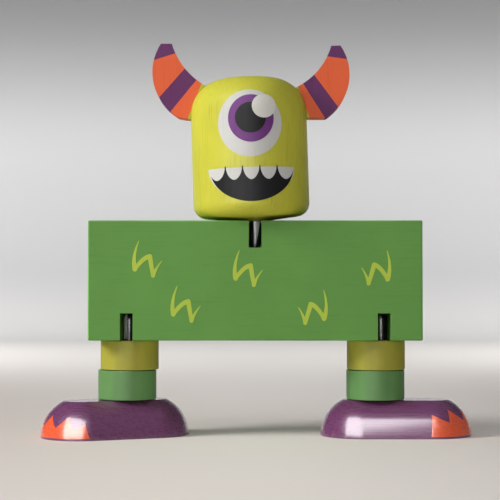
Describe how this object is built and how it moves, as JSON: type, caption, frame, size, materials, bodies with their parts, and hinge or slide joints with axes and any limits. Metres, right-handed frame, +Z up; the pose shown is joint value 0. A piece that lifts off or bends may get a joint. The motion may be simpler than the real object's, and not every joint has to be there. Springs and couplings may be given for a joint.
{
  "type": "posable monster figure",
  "caption": "Block-bodied one-eyed wooden monster figure whose horned head and ringed legs are strung on elastic, fold against the body and turn.",
  "frame": {"origin": "on the standing surface, below the middle of the torso", "axes": "+X to the viewer's right along the torso's width, -Y the way the face looks, +Z up"},
  "size_m": [0.1475, 0.041, 0.1352],
  "materials": {
    "torso_paint": "satin paint",
    "lime_paint": "satin paint",
    "shin_paint": "satin paint",
    "foot_paint": "satin paint",
    "horn_paint": "satin paint",
    "elastic": "smooth black elastic"
  },
  "bodies": {
    "torso": {"torso": "torso_paint", "neck_torso_knot": "elastic", "left_torso_knot": "elastic", "right_torso_knot": "elastic", "neck_torso_plug": "torso_paint", "left_torso_plug": "torso_paint", "right_torso_plug": "torso_paint"},
    "neck_fold_link": {"neck_elastic": "elastic"},
    "neck_cord": {"neck_cord": "elastic", "head_knot": "elastic"},
    "head": {"head": "lime_paint", "left_horn": "horn_paint", "right_horn": "horn_paint", "head_plug": "lime_paint"},
    "left_fold_link": {"left_hip_elastic": "elastic"},
    "left_leg_cord": {"left_leg_cord": "elastic", "left_foot_knot": "elastic"},
    "left_thigh": {"left_thigh": "lime_paint"},
    "left_shin": {"left_shin": "shin_paint"},
    "left_foot": {"left_foot": "foot_paint", "left_foot_plug": "foot_paint"},
    "right_fold_link": {"right_hip_elastic": "elastic"},
    "right_leg_cord": {"right_leg_cord": "elastic", "right_foot_knot": "elastic"},
    "right_thigh": {"right_thigh": "lime_paint"},
    "right_shin": {"right_shin": "shin_paint"},
    "right_foot": {"right_foot": "foot_paint", "right_foot_plug": "foot_paint"}
  },
  "joints": [
    {"name": "head_fold", "type": "hinge", "parent": "torso", "child": "neck_fold_link", "pos_m": [0, -0.0124, 0.073], "axis": [1, 0, 0], "range_deg": [0, 90], "deforming": ["neck_elastic"]},
    {"name": "head_slide", "type": "slide", "parent": "neck_fold_link", "child": "neck_cord", "axis": [0, -1, 0], "range_m": [0, 0.01885]},
    {"name": "head_turn", "type": "hinge", "parent": "neck_cord", "child": "head", "pos_m": [0, 0, 0.0739], "axis": [-0.0314, 0, 0.9995], "continuous": true},
    {"name": "left_leg_fold", "type": "hinge", "parent": "torso", "child": "left_fold_link", "pos_m": [-0.0435, -0.0124, 0.0336], "axis": [-1, 0, 0], "range_deg": [0, 90], "deforming": ["left_hip_elastic"]},
    {"name": "left_leg_slide", "type": "slide", "parent": "left_fold_link", "child": "left_leg_cord", "axis": [0, -1, 0], "range_m": [0, 0.01885]},
    {"name": "left_thigh_turn", "type": "hinge", "parent": "left_leg_cord", "child": "left_thigh", "pos_m": [-0.0435, 0, 0.0062], "axis": [0, 0, 1], "continuous": true},
    {"name": "left_shin_turn", "type": "hinge", "parent": "left_leg_cord", "child": "left_shin", "pos_m": [-0.0435, 0, 0.0062], "axis": [0, 0, 1], "continuous": true},
    {"name": "left_foot_turn", "type": "hinge", "parent": "left_leg_cord", "child": "left_foot", "pos_m": [-0.0435, 0, 0.0062], "axis": [0, 0, 1], "continuous": true},
    {"name": "right_leg_fold", "type": "hinge", "parent": "torso", "child": "right_fold_link", "pos_m": [0.0435, -0.0124, 0.0336], "axis": [-1, 0, 0], "range_deg": [0, 90], "deforming": ["right_hip_elastic"]},
    {"name": "right_leg_slide", "type": "slide", "parent": "right_fold_link", "child": "right_leg_cord", "axis": [0, -1, 0], "range_m": [0, 0.01885]},
    {"name": "right_thigh_turn", "type": "hinge", "parent": "right_leg_cord", "child": "right_thigh", "pos_m": [0.0435, 0, 0.0062], "axis": [0, 0, 1], "continuous": true},
    {"name": "right_shin_turn", "type": "hinge", "parent": "right_leg_cord", "child": "right_shin", "pos_m": [0.0435, 0, 0.0062], "axis": [0, 0, 1], "continuous": true},
    {"name": "right_foot_turn", "type": "hinge", "parent": "right_leg_cord", "child": "right_foot", "pos_m": [0.0435, 0, 0.0062], "axis": [0, 0, 1], "continuous": true}
  ],
  "couplings": [
    {"joint": "head_slide", "follows": "head_fold", "m_per_rad": 0.012},
    {"joint": "left_leg_slide", "follows": "left_leg_fold", "m_per_rad": 0.012},
    {"joint": "right_leg_slide", "follows": "right_leg_fold", "m_per_rad": 0.012}
  ]
}
